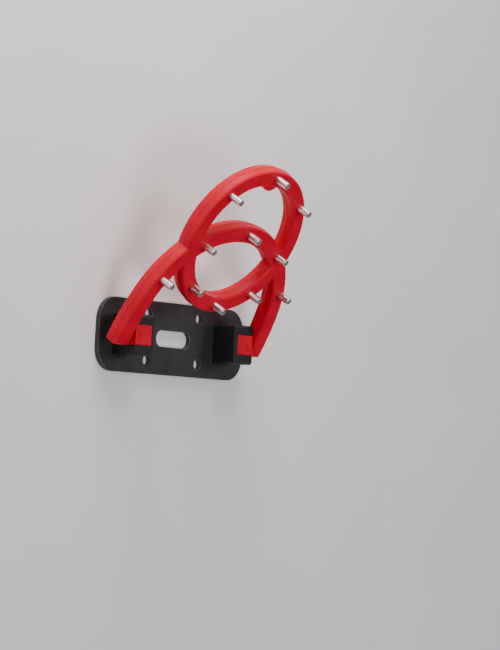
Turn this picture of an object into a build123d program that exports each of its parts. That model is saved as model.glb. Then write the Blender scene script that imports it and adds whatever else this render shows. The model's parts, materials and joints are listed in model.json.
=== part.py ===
"""Flip-out ice cleat for a boot sole: a red horseshoe arch crossed by a ring, both studded, on two hinges.

Row frame, millimetres: X along the hinge axis, Y towards the toe of the sole, Z out of the sole, and the
origin on the anchor plate's underside, straight under the middle of the hinge axis. The cleat is drawn
lifted part of the way out of the sole. Inside the cleat, u runs along the hinge axis, v runs from the
hinge axis to the far end of the ring, and w runs from the back face to the studded front face.
"""

from build123d import *
import os
from math import atan2, cos, degrees, hypot, radians, sin, sqrt

# The cleat frame: ring, arch and section
LIFT_ANGLE = 30.0  # degrees between the cleat and the sole, as drawn
CLEAT_THICKNESS = 5.1
RING_RADIUS = 21.55  # to the middle of the band
RING_BAND = 4.9
RING_CENTRE_V = 35.3
ARCH_HALF_SPAN = 31.25  # hinge centre plane to the middle of a leg
ARCH_HEIGHT = 37.8  # hinge axis to the middle of the band at the top
ARCH_FLANK_RADIUS = 63.0
ARCH_BAND = 5.3
WALL_DRAFT = 0.22  # how far the walls stand out at the parting line
FACE_EDGE = 0.4
BACK_RELIEF = 0.1  # the back shell stands in from the front shell by this much
FOOT_LENGTH = 5.0  # each leg is one solid piece this far from the hinge axis
FOOT_RUNOUT = 2.8  # straight end of each leg past the hinge axis
FOOT_CORNER = 1.0
SHELL_GAP = 0.05
TAB_RADIUS = 3.6
TAB_REACH = 2.1  # how far the lift tab stands into the ring
TAB_THICKNESS = 2.4

# Stiffener between the two shells
STIFFENER_THICKNESS = 1.0
STIFFENER_INSET = 1.1  # from the band's edge at the front face
POCKET_CLEARANCE = 0.05

# Studs
STUD_RADIUS = 1.08
STUD_LENGTH = 4.6  # above the front face
STUD_TIP_CHAMFER = 0.3
STUD_CORE_RADIUS = 0.45
STUD_CORE_LENGTH = 2.4
STUD_CORE_DOME = 0.12  # how far the core's tip stands out of the jacket's end
STUD_HEAD_RADIUS = 1.6
STUD_HEAD_THICKNESS = 0.7
STUD_CLEARANCE = 0.02
RING_STUDS = {  # degrees round the ring, from the +u side
    "ring_stud_far_end": 90.0,
    "ring_stud_far_left": 140.0,
    "ring_stud_far_right": 40.0,
    "ring_stud_near_left": 230.0,
    "ring_stud_near_right": 310.0,
    "ring_stud_near_end": 270.0,
}
ARCH_STUD_SHOULDER_U = 17.3  # from the centre plane to each shoulder stud
ARCH_STUD_LEG_V = 19.8  # from the hinge axis to each leg stud

# Anchor plate
HINGE_HEIGHT = 7.4  # hinge axis above the plate's underside
PLATE_LENGTH = 68.0
PLATE_WIDTH = 22.0
PLATE_THICKNESS = 1.5
PLATE_CORNER = 7.0
ANCHOR_HOLE_RADIUS = 1.6
ANCHOR_SPACING_X = 24.0
ANCHOR_SPACING_Y = 14.0
FLOW_SLOT_LENGTH = 16.0
FLOW_SLOT_WIDTH = 5.0

# Hinge housings and caps
LEG_GAP = 0.6  # between a housing and the leg beside it
HOUSING_LENGTH = 8.5  # along the hinge axis
HOUSING_WIDTH = 12.0
HOUSING_EDGE = 0.6
ANCHOR_GROOVE_HEIGHTS = (3.4, 6.1)  # middles of the grooves that the sole's rubber keys into
ANCHOR_GROOVE_WIDTH = 1.1
ANCHOR_GROOVE_DEPTH = 0.45
CAP_RISE = 3.0  # top of cap and housing above the hinge axis
CAP_WIDTH = 6.1
CAP_WALL = 0.5
CAP_CLEARANCE = 0.05
CAP_EDGE = 0.25
CAP_NUB_RADIUS = 0.7
CAP_NUB_HEIGHT = 0.3
CAP_NUB_TAPER = 25.0  # degrees
CAP_NUB_OFFSET = 1.5  # from the cap's middle towards the leg
INNER_WALL = 1.2  # housing wall that stays dark beside the cap
INNER_BEARING = 1.1
OUTER_BEARING = 2.0
CAVITY_WIDTH = 5.2
CAVITY_DEPTH = 4.0  # below the hinge axis

# Axles: square cam between two round journals
CAM_FLAT = 3.4
CAM_CORNER = 0.5
CAM_END_GAP = 0.2
OUTER_JOURNAL_RADIUS = 1.4
INNER_JOURNAL_RADIUS = 0.95
INNER_JOURNAL_BITE = 0.7  # how far the inner journal passes the cap into the housing wall
RUNNING_CLEARANCE = 0.05
BORE_OVERRUN = 1.0  # a bore's cut runs this far past the wall it opens
STEM_RADIUS = 1.25
STEM_LENGTH = 4.2  # pressed into the leg
STEM_END_CHAMFER = 0.25

# Detent springs
SPRING_THICKNESS = 0.3
SPRING_SIDE_GAP = 0.2
SPRING_CAM_GAP = 0.06
SPRING_CROWN = 2.2  # flat length under the cam
SPRING_FOOT = 0.6

# Rivets from the plate into the housings
RIVET_RADIUS = 0.9
RIVET_HEAD_RADIUS = 1.6
RIVET_LENGTH = 5.0
RIVET_OFFSET = 4.4  # from the hinge axis, along Y

half_thickness = CLEAT_THICKNESS / 2
lift = radians(LIFT_ANGLE)
v_dir = Vector(0, cos(lift), sin(lift))
w_dir = Vector(0, -sin(lift), cos(lift))
cleat_plane = Plane(origin=(0, 0, HINGE_HEIGHT), x_dir=(1, 0, 0), z_dir=w_dir)
leg_inner_face = ARCH_HALF_SPAN - ARCH_BAND / 2 - WALL_DRAFT
housing_outer = leg_inner_face - LEG_GAP
housing_inner = housing_outer - HOUSING_LENGTH
cap_inner = housing_inner + INNER_WALL
cavity_inner = cap_inner + INNER_BEARING
cavity_outer = housing_outer - OUTER_BEARING
cam_reach = (CAM_FLAT / 2 - CAM_CORNER) * sqrt(2) + CAM_CORNER  # hinge axis to a rounded corner
housing_top = HINGE_HEIGHT + CAP_RISE
stud_head_floor = -STIFFENER_THICKNESS / 2 - STUD_HEAD_THICKNESS

os.makedirs("parts", exist_ok=True)


def save(solid, name):
    """Labels a finished piece and writes it under its node's name."""
    solid.label = name
    export_step(solid, f"parts/{name}.step")


def arch_top_radius():
    """Radius of the top arc that meets both flank arcs smoothly."""
    span, height, flank = ARCH_HALF_SPAN, ARCH_HEIGHT, ARCH_FLANK_RADIUS
    return (span**2 + height**2 - 2 * flank * span) / (2 * (height - flank))


def arch_joint():
    """(u, v) where the right flank arc runs into the top arc."""
    top_centre_v = ARCH_HEIGHT - arch_top_radius()
    flank_centre_u = ARCH_HALF_SPAN - ARCH_FLANK_RADIUS
    reach = hypot(flank_centre_u, top_centre_v)
    return (
        flank_centre_u - ARCH_FLANK_RADIUS * flank_centre_u / reach,
        ARCH_FLANK_RADIUS * top_centre_v / reach,
    )


def arch_point_at_u(u):
    """v on the top arc's middle line at a given u."""
    radius = arch_top_radius()
    return ARCH_HEIGHT - radius + sqrt(radius**2 - u**2)


def arch_point_at_v(v):
    """u on the right flank arc's middle line at a given v."""
    return ARCH_HALF_SPAN - ARCH_FLANK_RADIUS + sqrt(ARCH_FLANK_RADIUS**2 - v**2)


def turned_plane(centre_u, centre_v, turn):
    """Section plane through a turning centre: local x points out at the given angle, local y along w."""
    outward = Vector(cos(radians(turn)), 0, 0) + v_dir * sin(radians(turn))
    centre = cleat_plane.from_local_coords(Vector(centre_u, centre_v, 0))
    return Plane(origin=centre, x_dir=outward, z_dir=outward.cross(w_dir))


def half_section(side, relief=0.0):
    """Draws half the band's section, from the parting line to the front face (1) or the back face (-1)."""

    def draw(plane, centre, band):
        half = band / 2 - relief
        with BuildSketch(plane) as section:
            with BuildLine():
                Polyline(
                    (centre - half - WALL_DRAFT, 0),
                    (centre - half, side * (half_thickness - FACE_EDGE)),
                    (centre - half + FACE_EDGE, side * half_thickness),
                    (centre + half - FACE_EDGE, side * half_thickness),
                    (centre + half, side * (half_thickness - FACE_EDGE)),
                    (centre + half + WALL_DRAFT, 0),
                    close=True,
                )
            make_face()
        return section.sketch

    return draw


def flat_section(thickness, grow=0.0):
    """Draws the stiffener's flat section, grown all round for the pocket it lies in."""

    def draw(plane, centre, band):
        with BuildSketch(plane) as section:
            with Locations((centre, 0)):
                Rectangle(band - 2 * (STIFFENER_INSET - grow), thickness + 2 * grow)
        return section.sketch

    return draw


def add_ring(draw):
    """Turns a section round the ring, inside an open BuildPart."""
    plane = turned_plane(0, RING_CENTRE_V, 0)
    revolve(draw(plane, RING_RADIUS, RING_BAND), axis=Axis(plane.origin, w_dir))


def add_arch(draw, runout=0.0):
    """Turns a section along the arch's three arcs and runs it straight out past the feet."""
    flank_u = ARCH_HALF_SPAN - ARCH_FLANK_RADIUS
    joint_u, joint_v = arch_joint()
    turn = degrees(atan2(joint_v, joint_u - flank_u))
    for centre_u, centre_v, radius, start, arc in (
        (0, ARCH_HEIGHT - arch_top_radius(), arch_top_radius(), turn, 180 - 2 * turn),
        (flank_u, 0, ARCH_FLANK_RADIUS, 0, turn),
        (-flank_u, 0, ARCH_FLANK_RADIUS, 180 - turn, turn),
    ):
        plane = turned_plane(centre_u, centre_v, start)
        revolve(draw(plane, radius, ARCH_BAND), axis=Axis(plane.origin, w_dir), revolution_arc=arc)
    if runout:
        for side in (-1, 1):
            extrude(draw(turned_plane(side * ARCH_HALF_SPAN, 0, 0), 0, ARCH_BAND), amount=runout)


def foot_cut(gap=0.0):
    """Plane across both legs where the solid feet end."""
    return Plane(cleat_plane.from_local_coords(Vector(0, FOOT_LENGTH + gap, 0)), z_dir=v_dir)


def add_tab_half(side):
    """One shell's half of the lift tab, inside an open BuildPart."""
    tab_v = RING_CENTRE_V + RING_RADIUS - RING_BAND / 2 - TAB_REACH + TAB_RADIUS
    with BuildSketch(cleat_plane) as disc:
        with Locations((0, tab_v)):
            Circle(TAB_RADIUS)
    extrude(disc.sketch, amount=side * TAB_THICKNESS / 2)


def cut_stiffener_pocket():
    """Room for the stiffener, inside an open BuildPart."""
    with BuildPart(mode=Mode.PRIVATE) as pocket:
        add_arch(flat_section(STIFFENER_THICKNESS, POCKET_CLEARANCE))
        split(bisect_by=foot_cut())
        add_ring(flat_section(STIFFENER_THICKNESS, POCKET_CLEARANCE))
    add(pocket.part, mode=Mode.SUBTRACT)


def stud_places():
    """{stud name: (u, v)} for every stud."""
    places = {
        name: (RING_RADIUS * cos(radians(turn)), RING_CENTRE_V + RING_RADIUS * sin(radians(turn)))
        for name, turn in RING_STUDS.items()
    }
    shoulder_v = arch_point_at_u(ARCH_STUD_SHOULDER_U)
    leg_u = arch_point_at_v(ARCH_STUD_LEG_V)
    places["arch_stud_top"] = (0.0, ARCH_HEIGHT)
    places["arch_stud_left_shoulder"] = (-ARCH_STUD_SHOULDER_U, shoulder_v)
    places["arch_stud_right_shoulder"] = (ARCH_STUD_SHOULDER_U, shoulder_v)
    places["arch_stud_left_leg"] = (-leg_u, ARCH_STUD_LEG_V)
    places["arch_stud_right_leg"] = (leg_u, ARCH_STUD_LEG_V)
    return places


def cut_stud_seats(low, high, radius):
    """Round seats for every stud between two heights, inside an open BuildPart."""
    with BuildSketch(cleat_plane.offset(low)) as seats:
        with Locations(*stud_places().values()):
            Circle(radius)
    extrude(seats.sketch, amount=high - low, mode=Mode.SUBTRACT)


def x_span(side, inner, outer):
    """Where an extrusion along +X starts so that it fills inner to outer on one side."""
    return inner if side > 0 else -outer


def make_front_shell():
    """Front half of the frame; its two feet have the full thickness and end just past the hinge axis."""
    with BuildPart() as feet:
        add_arch(half_section(-1), runout=FOOT_RUNOUT)
        split(bisect_by=foot_cut(), keep=Keep.BOTTOM)
    with BuildPart() as foot_end:
        with BuildSketch(cleat_plane):
            with Locations((0, -FOOT_RUNOUT)):
                Rectangle(4 * ARCH_HALF_SPAN, 2 * FOOT_RUNOUT)
        extrude(amount=CLEAT_THICKNESS, both=True)
        with BuildSketch(Plane.YZ):
            with Locations(Location((0, HINGE_HEIGHT), LIFT_ANGLE)):
                RectangleRounded(2 * FOOT_RUNOUT, CLEAT_THICKNESS, FOOT_CORNER)
        extrude(amount=2 * ARCH_HALF_SPAN, both=True, mode=Mode.SUBTRACT)
    with BuildPart() as front_shell:
        add_arch(half_section(1), runout=FOOT_RUNOUT)
        add_ring(half_section(1))
        add_tab_half(1)
        add(feet.part)
        cut_stiffener_pocket()
        cut_stud_seats(0, half_thickness, STUD_RADIUS + STUD_CLEARANCE)
        add(foot_end.part, mode=Mode.SUBTRACT)
        for side in (-1, 1):
            with BuildSketch(Plane.YZ.offset(x_span(side, leg_inner_face, leg_inner_face + STEM_LENGTH))):
                with Locations((0, HINGE_HEIGHT)):
                    Circle(STEM_RADIUS)
            extrude(amount=STEM_LENGTH, mode=Mode.SUBTRACT)
    save(front_shell.part, "frame_front_shell")


def make_back_shell():
    with BuildPart() as back_shell:
        add_arch(half_section(-1, BACK_RELIEF))
        split(bisect_by=foot_cut(SHELL_GAP))
        add_ring(half_section(-1, BACK_RELIEF))
        add_tab_half(-1)
        cut_stiffener_pocket()
        cut_stud_seats(stud_head_floor - POCKET_CLEARANCE, 0, STUD_HEAD_RADIUS + POCKET_CLEARANCE)
    save(back_shell.part, "frame_back_shell")


def make_stiffener():
    with BuildPart() as stiffener:
        add_arch(flat_section(STIFFENER_THICKNESS))
        split(bisect_by=foot_cut(POCKET_CLEARANCE))
        add_ring(flat_section(STIFFENER_THICKNESS))
        cut_stud_seats(-STIFFENER_THICKNESS, STIFFENER_THICKNESS, STUD_RADIUS + STUD_CLEARANCE)
    save(stiffener.part, "stiffener_plate")


def make_stud(name, u, v):
    """One stud jacket: head under the stiffener, shank through the front shell, bored tip."""
    tip = half_thickness + STUD_LENGTH
    centre = cleat_plane.from_local_coords(Vector(u, v, 0))
    with BuildPart() as stud:
        with BuildSketch(Plane(origin=centre, x_dir=(1, 0, 0), z_dir=-v_dir)):
            with BuildLine():
                Polyline(
                    (0, stud_head_floor),
                    (STUD_HEAD_RADIUS, stud_head_floor),
                    (STUD_HEAD_RADIUS, -STIFFENER_THICKNESS / 2),
                    (STUD_RADIUS, -STIFFENER_THICKNESS / 2),
                    (STUD_RADIUS, tip - STUD_TIP_CHAMFER),
                    (STUD_RADIUS - STUD_TIP_CHAMFER, tip),
                    (STUD_CORE_RADIUS + STUD_CLEARANCE, tip),
                    (STUD_CORE_RADIUS + STUD_CLEARANCE, tip - STUD_CORE_LENGTH),
                    (0, tip - STUD_CORE_LENGTH),
                    close=True,
                )
            make_face()
        revolve(axis=Axis(centre, w_dir))
    save(stud.part, name)


def make_stud_core(name, u, v):
    """Hard core standing in one stud's jacket, with a low domed tip."""
    tip = half_thickness + STUD_LENGTH
    centre = cleat_plane.from_local_coords(Vector(u, v, 0))
    with BuildPart() as core:
        with BuildSketch(Plane(origin=centre, x_dir=(1, 0, 0), z_dir=-v_dir)):
            with BuildLine():
                Polyline(
                    (0, tip + STUD_CORE_DOME),
                    (0, tip - STUD_CORE_LENGTH),
                    (STUD_CORE_RADIUS, tip - STUD_CORE_LENGTH),
                    (STUD_CORE_RADIUS, tip - STUD_CORE_DOME),
                )
                RadiusArc(
                    (STUD_CORE_RADIUS, tip - STUD_CORE_DOME),
                    (0, tip + STUD_CORE_DOME),
                    -(STUD_CORE_RADIUS**2 + 4 * STUD_CORE_DOME**2) / (4 * STUD_CORE_DOME),
                )
            make_face()
        revolve(axis=Axis(centre, w_dir))
    save(core.part, name)


def make_anchor_plate():
    with BuildPart() as plate:
        with BuildSketch():
            RectangleRounded(PLATE_LENGTH, PLATE_WIDTH, PLATE_CORNER)
            with GridLocations(ANCHOR_SPACING_X, ANCHOR_SPACING_Y, 2, 2):
                Circle(ANCHOR_HOLE_RADIUS, mode=Mode.SUBTRACT)
            SlotOverall(FLOW_SLOT_LENGTH, FLOW_SLOT_WIDTH, mode=Mode.SUBTRACT)
        extrude(amount=PLATE_THICKNESS)
        with Locations(Plane(origin=(0, 0, 0), z_dir=(0, 0, -1))):
            with Locations(*rivet_places()):
                CounterSinkHole(RIVET_RADIUS, RIVET_HEAD_RADIUS, counter_sink_angle=90)
    save(plate.part, "anchor_plate")


def rivet_places():
    """(x, y) of every rivet."""
    middle = (housing_inner + housing_outer) / 2
    return [(side * middle, end * RIVET_OFFSET) for side in (-1, 1) for end in (-1, 1)]


def cut_bearings(side):
    """Round bores for both journals of one axle, inside an open BuildPart."""
    inner_bore_end = cap_inner - INNER_JOURNAL_BITE - RUNNING_CLEARANCE
    for inner, outer, radius in (
        (cavity_outer - BORE_OVERRUN, housing_outer + BORE_OVERRUN, OUTER_JOURNAL_RADIUS),
        (inner_bore_end, cavity_inner + BORE_OVERRUN, INNER_JOURNAL_RADIUS),
    ):
        with BuildSketch(Plane.YZ.offset(x_span(side, inner, outer))) as bore:
            with Locations((0, HINGE_HEIGHT)):
                Circle(radius + RUNNING_CLEARANCE)
        extrude(bore.sketch, amount=outer - inner, mode=Mode.SUBTRACT)


def make_housing(side, name):
    middle = side * (housing_inner + housing_outer) / 2
    pocket_length = housing_outer - cap_inner + CAP_CLEARANCE
    cavity_length = cavity_outer - cavity_inner
    with BuildPart() as housing:
        with BuildSketch(Plane.XY.offset(PLATE_THICKNESS)):
            with Locations((middle, 0)):
                Rectangle(HOUSING_LENGTH, HOUSING_WIDTH)
        extrude(amount=housing_top - PLATE_THICKNESS)
        inner_corners = housing.edges().filter_by(Axis.Z).group_by(Axis.X)[0 if side > 0 else -1]
        fillet(inner_corners, HOUSING_EDGE)
        chamfer(housing.faces().sort_by(Axis.Z)[-1].edges().filter_by(Axis.X), HOUSING_EDGE)
        side_faces = (-HOUSING_WIDTH / 2, HOUSING_WIDTH / 2)
        with BuildSketch(Plane.YZ.offset(middle - HOUSING_LENGTH / 2)):
            with Locations(*((y, z) for y in side_faces for z in ANCHOR_GROOVE_HEIGHTS)):
                Rectangle(2 * ANCHOR_GROOVE_DEPTH, ANCHOR_GROOVE_WIDTH)
        extrude(amount=HOUSING_LENGTH, mode=Mode.SUBTRACT)
        with BuildSketch(Plane.XY.offset(HINGE_HEIGHT)):
            with Locations((side * (housing_outer - pocket_length / 2), 0)):
                Rectangle(pocket_length, CAP_WIDTH + 2 * CAP_CLEARANCE)
        extrude(amount=CAP_RISE, mode=Mode.SUBTRACT)
        with BuildSketch(Plane.XY.offset(HINGE_HEIGHT - CAVITY_DEPTH)):
            with Locations((side * (cavity_inner + cavity_outer) / 2, 0)):
                Rectangle(cavity_length, CAVITY_WIDTH)
        extrude(amount=CAVITY_DEPTH, mode=Mode.SUBTRACT)
        cut_bearings(side)
        with BuildSketch(Plane.XY.offset(PLATE_THICKNESS)):
            with Locations((middle, RIVET_OFFSET), (middle, -RIVET_OFFSET)):
                Circle(RIVET_RADIUS)
        extrude(amount=RIVET_LENGTH - PLATE_THICKNESS, mode=Mode.SUBTRACT)
    save(housing.part, name)


def make_cap(side, name):
    length = housing_outer - cap_inner
    middle = side * (housing_outer + cap_inner) / 2
    with BuildPart() as cap:
        with BuildSketch(Plane.XY.offset(HINGE_HEIGHT)):
            with Locations((middle, 0)):
                Rectangle(length, CAP_WIDTH)
        extrude(amount=CAP_RISE)
        fillet(cap.faces().sort_by(Axis.Z)[-1].edges(), CAP_EDGE)
        with BuildSketch(Plane.XY.offset(HINGE_HEIGHT)):
            with Locations((side * (cavity_inner + cavity_outer) / 2, 0)):
                Rectangle(cavity_outer - cavity_inner, CAP_WIDTH - 2 * CAP_WALL)
        extrude(amount=CAP_RISE - CAP_WALL, mode=Mode.SUBTRACT)
        cut_bearings(side)
        with BuildSketch(Plane.XY.offset(housing_top)):
            with Locations((middle + side * CAP_NUB_OFFSET, 0)):
                Circle(CAP_NUB_RADIUS)
        extrude(amount=CAP_NUB_HEIGHT, taper=CAP_NUB_TAPER)
    save(cap.part, name)


def make_axle(side, name):
    """Square cam between two journals, with a stem pressed into the leg."""
    cam_inner = cavity_inner + CAM_END_GAP
    cam_outer = cavity_outer - CAM_END_GAP
    with BuildPart() as axle:
        with BuildSketch(Plane.YZ.offset(x_span(side, cam_inner, cam_outer))):
            with Locations(Location((0, HINGE_HEIGHT), LIFT_ANGLE)):
                RectangleRounded(CAM_FLAT, CAM_FLAT, CAM_CORNER)
        extrude(amount=cam_outer - cam_inner)
        for inner, outer, radius in (
            (cap_inner - INNER_JOURNAL_BITE, cam_inner, INNER_JOURNAL_RADIUS),
            (cam_outer, leg_inner_face, OUTER_JOURNAL_RADIUS),
            (leg_inner_face, leg_inner_face + STEM_LENGTH, STEM_RADIUS),
        ):
            with BuildSketch(Plane.YZ.offset(x_span(side, inner, outer))):
                with Locations((0, HINGE_HEIGHT)):
                    Circle(radius)
            extrude(amount=outer - inner)
        stem_end = axle.faces().sort_by(Axis.X)[-1 if side > 0 else 0]
        chamfer(stem_end.edges(), STEM_END_CHAMFER)
    save(axle.part, name)


def make_spring(side, name):
    """Leaf bridging the floor of one housing's cavity, drawn pressed down by the cam."""
    length = cavity_outer - cavity_inner - 2 * SPRING_SIDE_GAP
    foot_z = HINGE_HEIGHT - CAVITY_DEPTH + SPRING_THICKNESS / 2
    crown_z = HINGE_HEIGHT - cam_reach - SPRING_CAM_GAP - SPRING_THICKNESS / 2
    reach = CAVITY_WIDTH / 2 - SPRING_SIDE_GAP - SPRING_THICKNESS / 2
    with BuildPart() as spring:
        with BuildSketch(Plane.YZ.offset(x_span(side, cavity_inner, cavity_outer) + SPRING_SIDE_GAP)):
            with BuildLine():
                Polyline(
                    (-reach, foot_z),
                    (-reach + SPRING_FOOT, foot_z),
                    (-SPRING_CROWN / 2, crown_z),
                    (SPRING_CROWN / 2, crown_z),
                    (reach - SPRING_FOOT, foot_z),
                    (reach, foot_z),
                )
                offset(amount=SPRING_THICKNESS / 2, side=Side.BOTH)
            make_face()
        extrude(amount=length)
    save(spring.part, name)


def make_rivet(x, y, name):
    """Countersunk rivet, drawn from its flush head up into the housing."""
    with BuildPart() as rivet:
        with BuildSketch(Plane.XZ.offset(-y)):
            with BuildLine():
                Polyline(
                    (x, 0),
                    (x + RIVET_HEAD_RADIUS, 0),
                    (x + RIVET_RADIUS, RIVET_HEAD_RADIUS - RIVET_RADIUS),
                    (x + RIVET_RADIUS, RIVET_LENGTH),
                    (x, RIVET_LENGTH),
                    close=True,
                )
            make_face()
        revolve(axis=Axis((x, y, 0), (0, 0, 1)))
    save(rivet.part, name)


make_front_shell()
make_back_shell()
make_stiffener()
for stud_name, (stud_u, stud_v) in stud_places().items():
    make_stud(stud_name, stud_u, stud_v)
    make_stud_core(f"{stud_name}_core", stud_u, stud_v)
make_anchor_plate()
for side, side_name in ((-1, "left"), (1, "right")):
    make_housing(side, f"{side_name}_hinge_housing")
    make_cap(side, f"{side_name}_hinge_cap")
    make_axle(side, f"{side_name}_axle")
    make_spring(side, f"{side_name}_detent_spring")
rivet_names = ("left_heel_rivet", "left_toe_rivet", "right_heel_rivet", "right_toe_rivet")
for name, (rivet_x, rivet_y) in zip(rivet_names, rivet_places()):
    make_rivet(rivet_x, rivet_y, name)
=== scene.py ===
# %% [markdown]
# # A flip-out ice cleat
#
# This lesson dresses the packed CAD of a winter boot's flip-out ice cleat: a red moulded ring and
# horseshoe arch with carbide-cored steel studs, which folds on two small axles out of an anchor plate.
# The CAD carries the true sizes and the motion. Blender adds what CAD leaves plain: softened edges,
# the moulding's parting ridge, turned rims on the studs, and finishes that hold up close to.

import json
import math

import bmesh
import bpy
from mathutils import Matrix, Vector


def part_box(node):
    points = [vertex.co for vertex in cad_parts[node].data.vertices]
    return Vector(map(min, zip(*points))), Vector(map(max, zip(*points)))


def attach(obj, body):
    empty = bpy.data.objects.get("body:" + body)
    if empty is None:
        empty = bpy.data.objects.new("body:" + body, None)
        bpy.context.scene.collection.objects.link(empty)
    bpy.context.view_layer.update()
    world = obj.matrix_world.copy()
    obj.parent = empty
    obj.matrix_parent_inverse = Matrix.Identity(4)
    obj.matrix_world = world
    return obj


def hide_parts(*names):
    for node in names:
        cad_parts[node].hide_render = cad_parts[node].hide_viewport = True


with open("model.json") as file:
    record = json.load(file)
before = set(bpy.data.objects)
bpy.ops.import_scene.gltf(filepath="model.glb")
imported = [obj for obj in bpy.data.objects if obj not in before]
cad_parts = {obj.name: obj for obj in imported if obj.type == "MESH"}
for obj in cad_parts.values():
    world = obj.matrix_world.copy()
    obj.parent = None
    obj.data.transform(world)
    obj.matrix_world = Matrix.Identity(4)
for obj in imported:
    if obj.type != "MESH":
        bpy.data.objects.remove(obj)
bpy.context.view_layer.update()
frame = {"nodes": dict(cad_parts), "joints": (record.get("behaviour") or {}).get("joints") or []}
nodes = frame["nodes"]

# %% [markdown]
# ## One frame for the cleat
#
# The cleat stands lifted, so its own directions are tilted in the row frame. `u` runs along the hinge
# axis, `v` from the hinge axis to the far end of the ring, `w` out of the studded face. The hinge's place
# and the lift come from the frame's one joint, whose lower limit is the cleat lying flat. Every piece
# added below is placed with these three directions.

# %% The cleat's own directions
MM = 0.001
flip = frame["joints"][0]
LIFT = math.radians(-flip["range_deg"][0])
HINGE = Vector(flip["pos_m"])
U = Vector((1, 0, 0))
V = Vector((0, math.cos(LIFT), math.sin(LIFT)))
W = Vector((0, -math.sin(LIFT), math.cos(LIFT)))


def cleat_point(u, v, w):
    """A point given in millimetres along the cleat's own directions."""
    return HINGE + (U * u + V * v + W * w) * MM


print("hinge at", [round(x, 4) for x in HINGE], "lifted", round(math.degrees(LIFT), 1), "degrees")

# %% [markdown]
# ## Shader numbers that add up like Python
#
# A procedural finish is arithmetic on masks: this much grain, less on the edges, none on the rim. Wired
# by hand that is a web of Math nodes. Here a small class wraps a socket, and each Python operator adds
# the Math node it stands for. The reflected forms let a plain number stand first, as in `1 - mask`.


# %% A socket that does arithmetic
class Number:
    """One value that varies over a surface."""

    def __init__(self, finish, socket):
        self.finish, self.socket = finish, socket

    def _with(self, operation, *values):
        node = self.finish.node("ShaderNodeMath", {"operation": operation}, dict(enumerate(values)))
        return Number(self.finish, node.outputs[0])

    def __add__(self, other):
        return self._with("ADD", self, other)

    def __sub__(self, other):
        return self._with("SUBTRACT", self, other)

    def __rsub__(self, other):
        return self._with("SUBTRACT", other, self)

    def __mul__(self, other):
        return self._with("MULTIPLY", self, other)

    def __abs__(self):
        return self._with("ABSOLUTE", self)

    __radd__, __rmul__ = __add__, __mul__

    def band(self, low, high):
        """0 below low, 1 above high and a smooth step between; the other way round if low is higher."""
        inputs = {"Value": self, "From Min": low, "From Max": high}
        node = self.finish.node("ShaderNodeMapRange", {"interpolation_type": "SMOOTHSTEP"}, inputs)
        return Number(self.finish, node.outputs["Result"])

    def sine(self):
        return self._with("SINE", self)


print("operators ready:", [name for name in vars(Number) if name in ("__add__", "__rsub__", "__mul__")])

# %% [markdown]
# ## A finish
#
# Each finish is one material. Its `node` method is the only place where nodes are made: the type, then
# the settings, then what goes into the sockets. Everything is measured from Object coordinates, in
# metres, so grain keeps its real size on every piece and stays on it when the cleat is turned.


# %% The class that makes a finish
EDGE_STARTS, EDGE_FULL = 0.01, 0.16  # how far a rounded normal leans before a spot counts as an edge


class Finish:
    """A procedural material named for what it is on the real object."""

    def __init__(self, name):
        self.material = bpy.data.materials.new(name)
        self.material.use_nodes = True
        self.tree = self.material.node_tree
        self.tree.nodes.clear()
        self.place = self.node("ShaderNodeTexCoord").outputs["Object"]

    def node(self, kind, settings=None, inputs=None):
        node = self.tree.nodes.new(kind)
        for key, value in (settings or {}).items():
            setattr(node, key, value)
        for key, value in (inputs or {}).items():
            if isinstance(value, Number):
                value = value.socket
            if isinstance(value, bpy.types.NodeSocket):
                self.tree.links.new(value, node.inputs[key])
            else:
                node.inputs[key].default_value = value
        return node

    def noise(self, size, detail=2.0, roughness=0.5, place=None, distortion=0.0):
        """Noise between 0 and 1 whose lumps are about size metres across."""
        inputs = {"Vector": place or self.place, "Scale": 1 / size, "Detail": detail}
        inputs.update({"Roughness": roughness, "Distortion": distortion})
        return Number(self, self.node("ShaderNodeTexNoise", None, inputs).outputs[0])

    def stretched(self, scale):
        """The surface's coordinates, scaled unevenly for streaks."""
        inputs = {0: self.place, 1: scale}
        return self.node("ShaderNodeVectorMath", {"operation": "MULTIPLY"}, inputs).outputs[0]

    def along(self, direction):
        """How far a point lies along a direction, in metres."""
        inputs = {0: self.place, 1: tuple(direction)}
        node = self.node("ShaderNodeVectorMath", {"operation": "DOT_PRODUCT"}, inputs)
        return Number(self, node.outputs["Value"])

    def edges(self, radius):
        """1 on outer and inner edges, fading to 0 within about radius metres."""
        rounded = self.node("ShaderNodeBevel", {"samples": 6}, {"Radius": radius}).outputs[0]
        flat = self.node("ShaderNodeNewGeometry").outputs["Normal"]
        node = self.node("ShaderNodeVectorMath", {"operation": "DOT_PRODUCT"}, {0: rounded, 1: flat})
        return (1 - Number(self, node.outputs["Value"])).band(EDGE_STARTS, EDGE_FULL)

    def blend(self, share, below, above):
        """A colour between two colours, as share goes from 0 to 1."""
        settings = {"data_type": "RGBA"}
        inputs = {0: share, 6: below, 7: above}
        return self.node("ShaderNodeMix", settings, inputs).outputs[2]

    def bump(self, height, depth, strength=1.0, under=None):
        """A surface normal from a height map; depth is in metres."""
        inputs = {"Height": height, "Distance": depth, "Strength": strength}
        if under is not None:
            inputs["Normal"] = under
        return self.node("ShaderNodeBump", None, inputs).outputs[0]

    def finish(self, **sockets):
        """Wires the surface; names use underscores for spaces."""
        inputs = {key.replace("_", " "): value for key, value in sockets.items()}
        shader = self.node("ShaderNodeBsdfPrincipled", None, inputs)
        self.node("ShaderNodeOutputMaterial", None, {"Surface": shader.outputs[0]})
        return self.material


def colour(r, g, b):
    """A colour from 0 to 255 screen values, as the linear value a shader needs."""
    return tuple((x / 255) ** 2.2 for x in (r, g, b)) + (1.0,)


print("a clear red in linear values:", [round(x, 3) for x in colour(215, 20, 40)])

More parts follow.
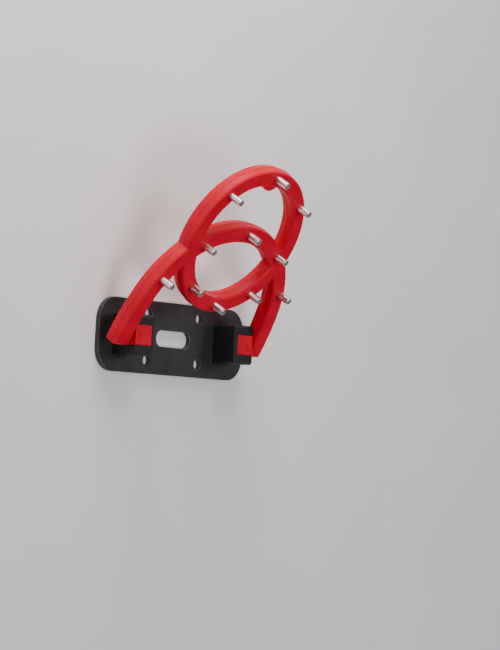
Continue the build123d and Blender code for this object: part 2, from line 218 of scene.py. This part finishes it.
# %% [markdown]
# ## Red moulded nylon
#
# The frame is glass-filled nylon, dyed through and moulded in a satin tool. Up close it has a fine
# spark-eroded grain, cloudy flow marks, pale rubbed edges and a few scuffs across the face that has
# walked on ice. Scuffs on dyed plastic turn pink rather than dark, since the surface whitens. The
# colour could be one flat red, but it is those three slow and fast variations that read as plastic.

# %% The frame's red
RED = (0.80, 0.0, 0.030, 1.0)
RED_DEEP = (0.64, 0.0, 0.022, 1.0)
RED_RUBBED = (0.90, 0.09, 0.11, 1.0)


def red_nylon(name, gloss, scuffing):
    f = Finish(name)
    flow = f.noise(9 * MM, detail=3, distortion=0.6)
    cloud = f.noise(2.2 * MM, detail=4, roughness=0.6)
    grain = f.noise(0.16 * MM, detail=1)
    streak = f.noise(1.0, detail=2, place=f.stretched((260, 2400, 2400)))
    scuff = abs(f.noise(5 * MM, detail=5, roughness=0.62, distortion=1.2) - 0.5).band(0.012, 0.002)
    scuff = scuff * streak.band(0.52, 0.66) * scuffing
    worn = f.edges(0.28 * MM) * cloud.band(0.3, 0.75)
    base = f.blend(flow.band(0.3, 0.7) * 0.7 + cloud * 0.3, RED_DEEP, RED)
    base = f.blend(worn * 0.22 + scuff * 0.45, base, RED_RUBBED)
    rough = gloss + grain * 0.10 + cloud * 0.06 + scuff * 0.2 - worn * 0.05
    height = grain * 0.6 + cloud * 0.4 - scuff * 0.5
    normal = f.bump(height, 0.03 * MM, 0.5)
    return f.finish(Base_Color=base, Roughness=rough, Normal=normal, Specular_IOR_Level=0.15)


red_front = red_nylon("red nylon, front shell", gloss=0.33, scuffing=0.35)
red_back = red_nylon("red nylon, back shell", gloss=0.34, scuffing=0.4)
red_cap = red_nylon("red nylon, hinge caps", gloss=0.42, scuffing=0.6)
print("reds:", [m.name for m in (red_front, red_back, red_cap)])

# %% [markdown]
# ## Black moulded nylon
#
# The hinge housings are black nylon from a coarser tool. Black needs more help than red: with no
# colour to vary, its look comes from roughness and grain, a greyer tone on rubbed edges, and dust.

# %% The housings' black
BLACK = colour(26, 26, 28)
BLACK_RUBBED = colour(84, 84, 88)
DUST = colour(118, 114, 108)


def black_nylon():
    f = Finish("black nylon, hinge housings")
    cloud = f.noise(3 * MM, detail=4, roughness=0.6)
    grain = f.noise(0.22 * MM, detail=2)
    dust = f.noise(0.9 * MM, detail=6, roughness=0.7).band(0.60, 0.74) * cloud.band(0.45, 0.7)
    worn = f.edges(0.3 * MM) * cloud.band(0.25, 0.8)
    base = f.blend(worn * 0.6, BLACK, BLACK_RUBBED)
    base = f.blend(dust * 0.22, base, DUST)
    rough = 0.46 + grain * 0.14 + dust * 0.2 - worn * 0.1
    normal = f.bump(grain * 0.8 + cloud * 0.3, 0.05 * MM, 0.6)
    return f.finish(Base_Color=base, Roughness=rough, Normal=normal, Specular_IOR_Level=0.45)


black_housing = black_nylon()
print("made", black_housing.name)

# %% [markdown]
# ## Turned steel and carbide
#
# A stud is a steel jacket turned on a lathe round a tungsten-carbide core. The jacket's shank keeps
# fine turning lines round it, its rim is bright where the ice rubs it, and the end of the core is dark
# and ground. Turning lines follow the stud's axis, so they come from a sine of the height along it:
# a ring pattern that no unwrapped picture would place as simply.

# %% The studs' steel
STEEL = colour(238, 236, 233)
STEEL_DULL = colour(202, 200, 198)
CARBIDE = colour(128, 126, 124)
CARBIDE_PALE = colour(166, 164, 162)
TURNING_PITCH = 0.11 * MM
TURN = 2 * math.pi / TURNING_PITCH


def turned_steel():
    f = Finish("turned steel, stud jackets")
    height = f.along((0, 0, 1))
    stain = f.noise(0.8 * MM, detail=4, roughness=0.65)
    fine = f.noise(0.09 * MM, detail=2)
    lines = (height * TURN + stain * 2.0).sine() * 0.5 + 0.5
    worn = f.edges(0.15 * MM)
    base = f.blend(stain.band(0.35, 0.75) * (1 - worn), STEEL, STEEL_DULL)
    rough = 0.22 + stain * 0.10 + fine * 0.06 - worn * 0.05
    normal = f.bump(lines * 0.6 + fine * 0.4, 0.012 * MM, 0.25)
    return f.finish(Base_Color=base, Metallic=1.0, Roughness=rough, Normal=normal)


def ground_carbide():
    f = Finish("ground carbide, stud cores")
    grit = f.noise(0.07 * MM, detail=3)
    stain = f.noise(0.4 * MM, detail=3)
    base = f.blend(stain.band(0.3, 0.7), CARBIDE, CARBIDE_PALE)
    rough = 0.36 + grit * 0.2
    normal = f.bump(grit, 0.015 * MM, 0.6)
    return f.finish(Base_Color=base, Metallic=0.85, Roughness=rough, Normal=normal)


steel_stud = turned_steel()
carbide_core = ground_carbide()
print("made", steel_stud.name, "and", carbide_core.name)

# %% [markdown]
# ## Rolled plate and machined hinge steel
#
# The stiffener is stamped from rolled sheet: long, faint rolling lines along X, a zinc-grey tone with
# soft blotches, and a bright sheared edge. The anchor plate is stamped too, under a thin black coat with
# a slight orange peel, and a few nicks and rubbed edges show the steel below. The axles, springs and
# rivets are small machined or formed pieces with a tighter, brighter surface.

# %% The hidden metals
ZINC = colour(166, 168, 170)
ZINC_DULL = colour(118, 120, 124)
EDGE_BRIGHT = colour(214, 214, 214)
COAT = colour(34, 34, 36)
COAT_CLOUDED = colour(46, 46, 49)


def rolled_steel():
    f = Finish("rolled steel, plates")
    lines = f.noise(1.0, detail=3, place=f.stretched((90, 5200, 5200)))
    blotch = f.noise(3.5 * MM, detail=5, roughness=0.6)
    scratch = f.noise(1.0, detail=1, place=f.stretched((700, 90, 700))).band(0.68, 0.72)
    worn = f.edges(0.3 * MM)
    base = f.blend(blotch.band(0.35, 0.7) * 0.8 + lines * 0.2, ZINC, ZINC_DULL)
    base = f.blend(worn * 0.6 + scratch * 0.3, base, EDGE_BRIGHT)
    rough = 0.30 + lines * 0.16 + blotch * 0.10 + scratch * 0.08
    normal = f.bump(lines * 0.6 - scratch * 0.4, 0.02 * MM, 0.5)
    return f.finish(Base_Color=base, Metallic=0.9, Roughness=rough, Normal=normal)


def machined_steel():
    f = Finish("machined steel, hinge pieces")
    lines = (f.along((1, 0, 0)) * TURN).sine() * 0.5 + 0.5
    stain = f.noise(1.2 * MM, detail=4)
    base = f.blend(stain.band(0.35, 0.75), STEEL, STEEL_DULL)
    rough = 0.26 + stain * 0.14
    normal = f.bump(lines, 0.008 * MM, 0.5)
    return f.finish(Base_Color=base, Metallic=1.0, Roughness=rough, Normal=normal)


def black_coat():
    f = Finish("thin black coat on stamped steel")
    cloud = f.noise(4 * MM, detail=5, roughness=0.6)
    peel = f.noise(0.5 * MM, detail=2)
    worn = f.edges(0.25 * MM) * cloud.band(0.42, 0.62)
    nick = f.noise(0.7 * MM, detail=4, roughness=0.7).band(0.70, 0.74)
    bare = worn * 0.8 + nick * 0.25
    base = f.blend(cloud.band(0.3, 0.7), COAT, COAT_CLOUDED)
    base = f.blend(bare, base, ZINC)
    rough = 0.36 + peel * 0.12 + cloud * 0.08
    normal = f.bump(peel * 0.5 + cloud * 0.5 - nick * 0.4, 0.04 * MM, 0.5)
    return f.finish(Base_Color=base, Metallic=bare * 0.8, Roughness=rough, Normal=normal)


black_plate = black_coat()
steel_plate = rolled_steel()
steel_hinge = machined_steel()
print("made", [m.name for m in (black_plate, steel_plate, steel_hinge)])

# %% [markdown]
# ## Softened edges on the CAD pieces
#
# No moulded or stamped edge is truly sharp, and an edge without a radius catches no light. The CAD
# keeps its clean chamfers, and a Bevel modifier rounds what is left of them, by an amount that suits
# each way of making: generous on plastic, tight on sheet metal. Modelling the radii in CAD would
# work too, but where ring and arch cross, the modifier copes better with the sharp inside corners.

# %% Edge rounding and finishes for each CAD piece
SHADED_SHARP = math.radians(26)
ROUNDED_FROM = math.radians(28)


def soften(obj, width):
    bevel = obj.modifiers.new("softened edges", "BEVEL")
    bevel.width = width
    bevel.segments = 2
    bevel.limit_method = "ANGLE"
    bevel.angle_limit = ROUNDED_FROM
    bevel.harden_normals = True
    bevel.use_clamp_overlap = True


def dress(name, finish, width):
    obj = nodes[name]
    obj.data.materials.clear()
    obj.data.materials.append(finish)
    for face in obj.data.polygons:
        face.use_smooth = True
    obj.data.set_sharp_from_angle(angle=SHADED_SHARP)
    if width:
        soften(obj, width)


for name in sorted(nodes):
    if name == "frame_front_shell":
        dress(name, red_front, 0.16 * MM)
    elif name == "frame_back_shell":
        dress(name, red_back, 0.14 * MM)
    elif name.endswith("_cap"):
        dress(name, red_cap, 0.08 * MM)
    elif name.endswith("_housing"):
        dress(name, black_housing, 0.2 * MM)
    elif name.endswith("_core"):
        dress(name, carbide_core, 0.0)
    elif "_stud_" in name:
        dress(name, steel_stud, 0.0)
    elif name == "anchor_plate":
        dress(name, black_plate, 0.15 * MM)
    elif name == "stiffener_plate":
        dress(name, steel_plate, 0.1 * MM)
    else:
        dress(name, steel_hinge, 0.06 * MM)
print("dressed", len(nodes), "pieces")

# %% [markdown]
# ## Outlines of the ring and the arch
#
# The parting ridge follows the frame's outlines. The ring is two circles. The arch is a centre line of
# three arcs with a straight foot at each end, offset to both sides. Both are worked out once here as
# lists of (u, v) points in millimetres.

# %% Ring and arch as lists of points
RING_CENTRE_V = 35.3
RING_RADIUS = 21.55
RING_HALF = 2.45
ARCH_SPAN = 31.25
ARCH_HEIGHT = 37.8
ARCH_HALF = 2.65
FLANK_RADIUS = 63.0
FOOT_RUNOUT = 2.8
DRAFT = 0.22

twice_drop = 2 * (ARCH_HEIGHT - FLANK_RADIUS)
top_radius = (ARCH_SPAN**2 + ARCH_HEIGHT**2 - 2 * FLANK_RADIUS * ARCH_SPAN) / twice_drop
top_v = ARCH_HEIGHT - top_radius
flank_u = ARCH_SPAN - FLANK_RADIUS
joint_turn = math.atan2(top_v, -flank_u)


def arc(centre, radius, start, end, count):
    """Points from one angle to another about a centre, angles in radians."""
    turns = [start + (end - start) * i / count for i in range(count + 1)]
    return [(centre[0] + radius * math.cos(t), centre[1] + radius * math.sin(t)) for t in turns]


def ring_line(radius):
    return arc((0, RING_CENTRE_V), radius, 0, 2 * math.pi, 180)


def arch_line(offset):
    """From the right foot's end over the top to the left foot's, offset outwards in millimetres."""
    foot_u = ARCH_SPAN + offset
    right = arc((flank_u, 0), FLANK_RADIUS + offset, 0, joint_turn, 30)
    top = arc((0, top_v), top_radius + offset, joint_turn, math.pi - joint_turn, 90)
    left = arc((-flank_u, 0), FLANK_RADIUS + offset, math.pi - joint_turn, math.pi, 30)
    return [(foot_u, -FOOT_RUNOUT)] + right + top[1:] + left[1:] + [(-foot_u, -FOOT_RUNOUT)]


print("top arc:", round(top_radius, 2), "mm, joined at", round(math.degrees(joint_turn), 1), "degrees")

# %% [markdown]
# ## The parting ridge
#
# Where the two halves of the mould met, the frame's walls carry a hair-thin raised line all the way
# round, and it is the detail that says "moulded" at a glance. It could be a bump in the material, but a
# ridge on a silhouette has to be geometry. It is a bead swept along the outlines, left out where one
# band runs through the other, because there is no wall there.


# %% The bead along the walls
SKIN = 0.02  # a line this near a wall still counts as outside it
FLANK_FROM_V = -1.0  # a flank reaches no lower than this


def inside_ring(u, v):
    return abs(math.hypot(u, v - RING_CENTRE_V) - RING_RADIUS) < RING_HALF + DRAFT - SKIN


def inside_arch(u, v):
    reach = ARCH_HALF + DRAFT - SKIN
    if math.atan2(v - top_v, abs(u)) >= joint_turn:
        return abs(math.hypot(u, v - top_v) - top_radius) < reach
    return v > FLANK_FROM_V and abs(math.hypot(abs(u) - flank_u, v) - FLANK_RADIUS) < reach


def runs(points, hidden):
    """The stretches of a line that aren't hidden."""
    kept, run = [], []
    for u, v in points:
        if hidden(u, v):
            if len(run) > 1:
                kept.append(run)
            run = []
        else:
            run.append((u, v))
    if len(run) > 1:
        kept.append(run)
    return kept


RIDGE_RADIUS = 0.11 * MM
ridge_runs = []
for edge in (-1, 1):
    ridge_runs += runs(ring_line(RING_RADIUS + edge * (RING_HALF + DRAFT)), inside_arch)
    ridge_runs += runs(arch_line(edge * (ARCH_HALF + DRAFT)), inside_ring)


def ridge_piece(name, stretches, finish):
    curve = bpy.data.curves.new(name, "CURVE")
    curve.dimensions = "3D"
    curve.bevel_depth = RIDGE_RADIUS
    curve.bevel_resolution = 2
    curve.use_fill_caps = True
    for stretch in stretches:
        spline = curve.splines.new("POLY")
        spline.points.add(len(stretch) - 1)
        for point, (u, v) in zip(spline.points, stretch):
            point.co = (*cleat_point(u, v, 0), 1)
    obj = bpy.data.objects.new(name, curve)
    bpy.context.scene.collection.objects.link(obj)
    bpy.context.view_layer.update()
    mesh = bpy.data.meshes.new_from_object(obj.evaluated_get(bpy.context.evaluated_depsgraph_get()))
    bpy.data.objects.remove(obj)
    solid = bpy.data.objects.new(name, mesh)
    bpy.context.scene.collection.objects.link(solid)
    mesh.materials.clear()
    mesh.materials.append(finish)
    for face in mesh.polygons:
        face.use_smooth = True
    return solid


ridge = ridge_piece("parting_ridge", ridge_runs, red_front)
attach(ridge, "cleat")
print("ridge stretches:", len(ridge_runs), "faces:", len(ridge.data.polygons))

# %% [markdown]
# ## Turned stud jackets
#
# A stud is what a lathe makes, so it is made as one: a half outline spun about its axis. The CAD jacket
# has the size; this one adds the rounded rim and the hairline ring where the core is pressed in.


# %% Spinning a half outline
FULL_TURN = 40  # facets round a stud
STUD_SHARP = math.radians(35)


def rounded(corner_r, corner_w, radius, start, end, count):
    """Points of a small rounding in a half outline; angles in degrees."""
    turns = [math.radians(start + (end - start) * i / count) for i in range(count + 1)]
    return [(corner_r + radius * math.cos(t), corner_w + radius * math.sin(t)) for t in turns]


def spun(name, outline, centre, finish):
    """A closed turned piece from (radius, height) points in millimetres, standing along W at centre."""
    mesh, form = bpy.data.meshes.new(name), bmesh.new()
    turns = [2 * math.pi * i / FULL_TURN for i in range(FULL_TURN)]
    rings = []
    for radius, height in outline:
        r, z = radius * MM, height * MM
        if r == 0:
            rings.append([form.verts.new((0, 0, z))])
        else:
            rings.append([form.verts.new((r * math.cos(t), r * math.sin(t), z)) for t in turns])
    for lower, upper in zip(rings, rings[1:]):
        for i in range(FULL_TURN):
            j = (i + 1) % FULL_TURN
            if len(lower) == 1:
                form.faces.new((lower[0], upper[j], upper[i]))
            elif len(upper) == 1:
                form.faces.new((lower[i], lower[j], upper[0]))
            else:
                form.faces.new((lower[i], lower[j], upper[j], upper[i]))
    bmesh.ops.recalc_face_normals(form, faces=form.faces)
    form.to_mesh(mesh)
    form.free()
    obj = bpy.data.objects.new(name, mesh)
    bpy.context.scene.collection.objects.link(obj)
    mesh.materials.append(finish)
    for face in mesh.polygons:
        face.use_smooth = True
    mesh.set_sharp_from_angle(angle=STUD_SHARP)
    obj.matrix_world = Matrix.Translation(centre) @ Matrix((U, V, W)).transposed().to_4x4()
    return obj


print("a stud is spun in", FULL_TURN, "steps")

# %% The half outlines of jacket and core
HEAD_RADIUS, HEAD_FLOOR, HEAD_TOP = 1.6, -1.2, -0.5
SHANK_RADIUS = 1.075
STUD_TOP = 7.15  # above the parting plane
RIM = 0.34
LIP = 0.06
CORE_RADIUS = 0.45
CORE_DEPTH = 2.4
CORE_FIT = 0.02
CORE_SHOULDER = 0.1  # below the jacket's end
CORE_DOME = 0.2


def jacket_outline():
    bore, floor_w = CORE_RADIUS + CORE_FIT, STUD_TOP - CORE_DEPTH
    outline = [(0, HEAD_FLOOR), (HEAD_RADIUS, HEAD_FLOOR), (HEAD_RADIUS, HEAD_TOP), (SHANK_RADIUS, HEAD_TOP)]
    outline += rounded(SHANK_RADIUS - RIM, STUD_TOP - RIM, RIM, 0, 90, 7)
    outline += rounded(bore + LIP, STUD_TOP - LIP, LIP, 90, 180, 3)
    return outline + [(bore, floor_w), (0, floor_w)]


def core_outline():
    foot, shoulder = STUD_TOP - CORE_DEPTH + CORE_FIT, STUD_TOP - CORE_SHOULDER
    outline = [(0, foot), (CORE_RADIUS, foot), (CORE_RADIUS, shoulder)]
    for turn in map(math.radians, (15, 30, 45, 60, 75)):
        outline.append((CORE_RADIUS * math.cos(turn), shoulder + CORE_DOME * math.sin(turn)))
    return outline + [(0, shoulder + CORE_DOME)]


print("jacket outline points:", len(jacket_outline()), "core outline points:", len(core_outline()))

# %% [markdown]
# ## Setting the studs
#
# Each turned stud takes the place of its CAD jacket and core, so the place is read off the CAD piece
# rather than written twice. The centre of the CAD jacket's box is on the stud's axis, and sliding it
# along `w` to the parting plane gives the spot to stand on.

# %% Jackets and cores in their places
stud_names = sorted(n for n in nodes if "_stud_" in n and not n.endswith("_core"))


def stud_foot(name):
    """Where the stud's axis meets the parting plane, in metres."""
    low, high = (Vector(corner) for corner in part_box(name))
    middle = (low + high) / 2
    return middle - W * (middle - HINGE).dot(W)


for name in stud_names:
    foot = stud_foot(name)
    jacket = spun(f"{name}_jacket", jacket_outline(), foot, steel_stud)
    core = spun(f"{name}_carbide", core_outline(), foot, carbide_core)
    for piece, cad_node, slot_name in (
        (jacket, name, "stud_steel"), (core, f"{name}_core", "stud_core"),
    ):
        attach(piece, "cleat")
        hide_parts(cad_node)
print("studs set:", len(stud_names))

# %% [markdown]
# ## Floor and light
#
# The floor is plain, pale and matt, so nothing competes with the cleat. It lies a hair under the plate,
# because two surfaces in one plane shade each other black. A small key lamp from the toe side makes the
# outer walls glow. A broad fill from above sets the tone of the studded faces, and a weak rim lamp keeps
# the far leg's folds readable.


# %% The floor
FLOOR_SIZE = 6.0
FLOOR_DROP = 0.05 * MM
FLOOR_TONE = colour(240, 240, 240)
FLOOR_TONE_PALE = colour(245, 245, 245)


def pale_floor():
    f = Finish("pale studio floor")
    cloud = f.noise(0.05, detail=3)
    base = f.blend(cloud.band(0.3, 0.7), FLOOR_TONE, FLOOR_TONE_PALE)
    return f.finish(Base_Color=base, Roughness=0.85 + cloud * 0.05)


bpy.ops.mesh.primitive_plane_add(size=FLOOR_SIZE, location=(0, 0, -FLOOR_DROP))
floor = bpy.context.object
floor.name = "studio_floor"
floor.data.materials.append(pale_floor())
print("floor", FLOOR_SIZE, "m square,", round(FLOOR_DROP / MM, 3), "mm under the plate")


# %% Lamps and room
WARM_WHITE = (1, 0.93, 0.90)


def lamp(name, direction, distance, size, power, aim_v=28, tint=(1, 1, 1)):
    """A square soft lamp that looks at the cleat's middle line, aim_v millimetres from the hinge."""
    target = cleat_point(0, aim_v, 0)
    data = bpy.data.lights.new(name, "AREA")
    data.shape, data.size, data.energy, data.color = "SQUARE", size, power, tint
    obj = bpy.data.objects.new(name, data)
    bpy.context.scene.collection.objects.link(obj)
    away = Vector(direction).normalized()
    obj.location = target + away * distance
    obj.rotation_euler = (-away).to_track_quat("-Z", "Y").to_euler()


lamp("key, toe side", (-0.24, 0.95, 0.34), 0.30, 0.20, 1.30, aim_v=54, tint=WARM_WHITE)
lamp("fill, over the studs", (-0.22, -0.25, 1.0), 1.0, 0.55, 5.2)
lamp("rim, over the far leg", (0.7, 0.25, 0.9), 0.9, 0.4, 1.0)

world = bpy.data.worlds.new("soft white room")
world.use_nodes = True
background = world.node_tree.nodes["Background"]
background.inputs[0].default_value = (1, 1, 1, 1)
background.inputs[1].default_value = 0.13
bpy.context.scene.world = world

# %% [markdown]
# ## Camera
#
# The view is from the cleat's left, about 38 degrees up, with the camera on its side so that the toe
# end points up. A long lens from three quarters of a metre away keeps the ring from looking stretched.

# %% Long lens, high over the left leg
CAMERA_FROM_HINGE = Vector((-0.5851, -0.0279, 0.4810))
PICTURE_RIGHT = Vector((0.6133, 0.0538, 0.7880))
PICTURE_BACK = Vector((-0.7869, -0.0441, 0.6155))

camera_data = bpy.data.cameras.new("camera")
camera_data.lens = 139.05
camera_data.sensor_width = 36.0
camera = bpy.data.objects.new("camera", camera_data)
bpy.context.scene.collection.objects.link(camera)
right, back = PICTURE_RIGHT.normalized(), PICTURE_BACK.normalized()
up = back.cross(right).normalized()
right = up.cross(back)
camera.matrix_world = (
    Matrix.Translation(HINGE + CAMERA_FROM_HINGE)
    @ Matrix((right, up, back)).transposed().to_4x4()
)
camera_data.clip_start, camera_data.clip_end = 0.01, 20
bpy.context.scene.camera = camera
print("camera at", [round(x, 3) for x in camera.location])

# %% [markdown]
# ## Sizes
#
# Dressing must not change the size.
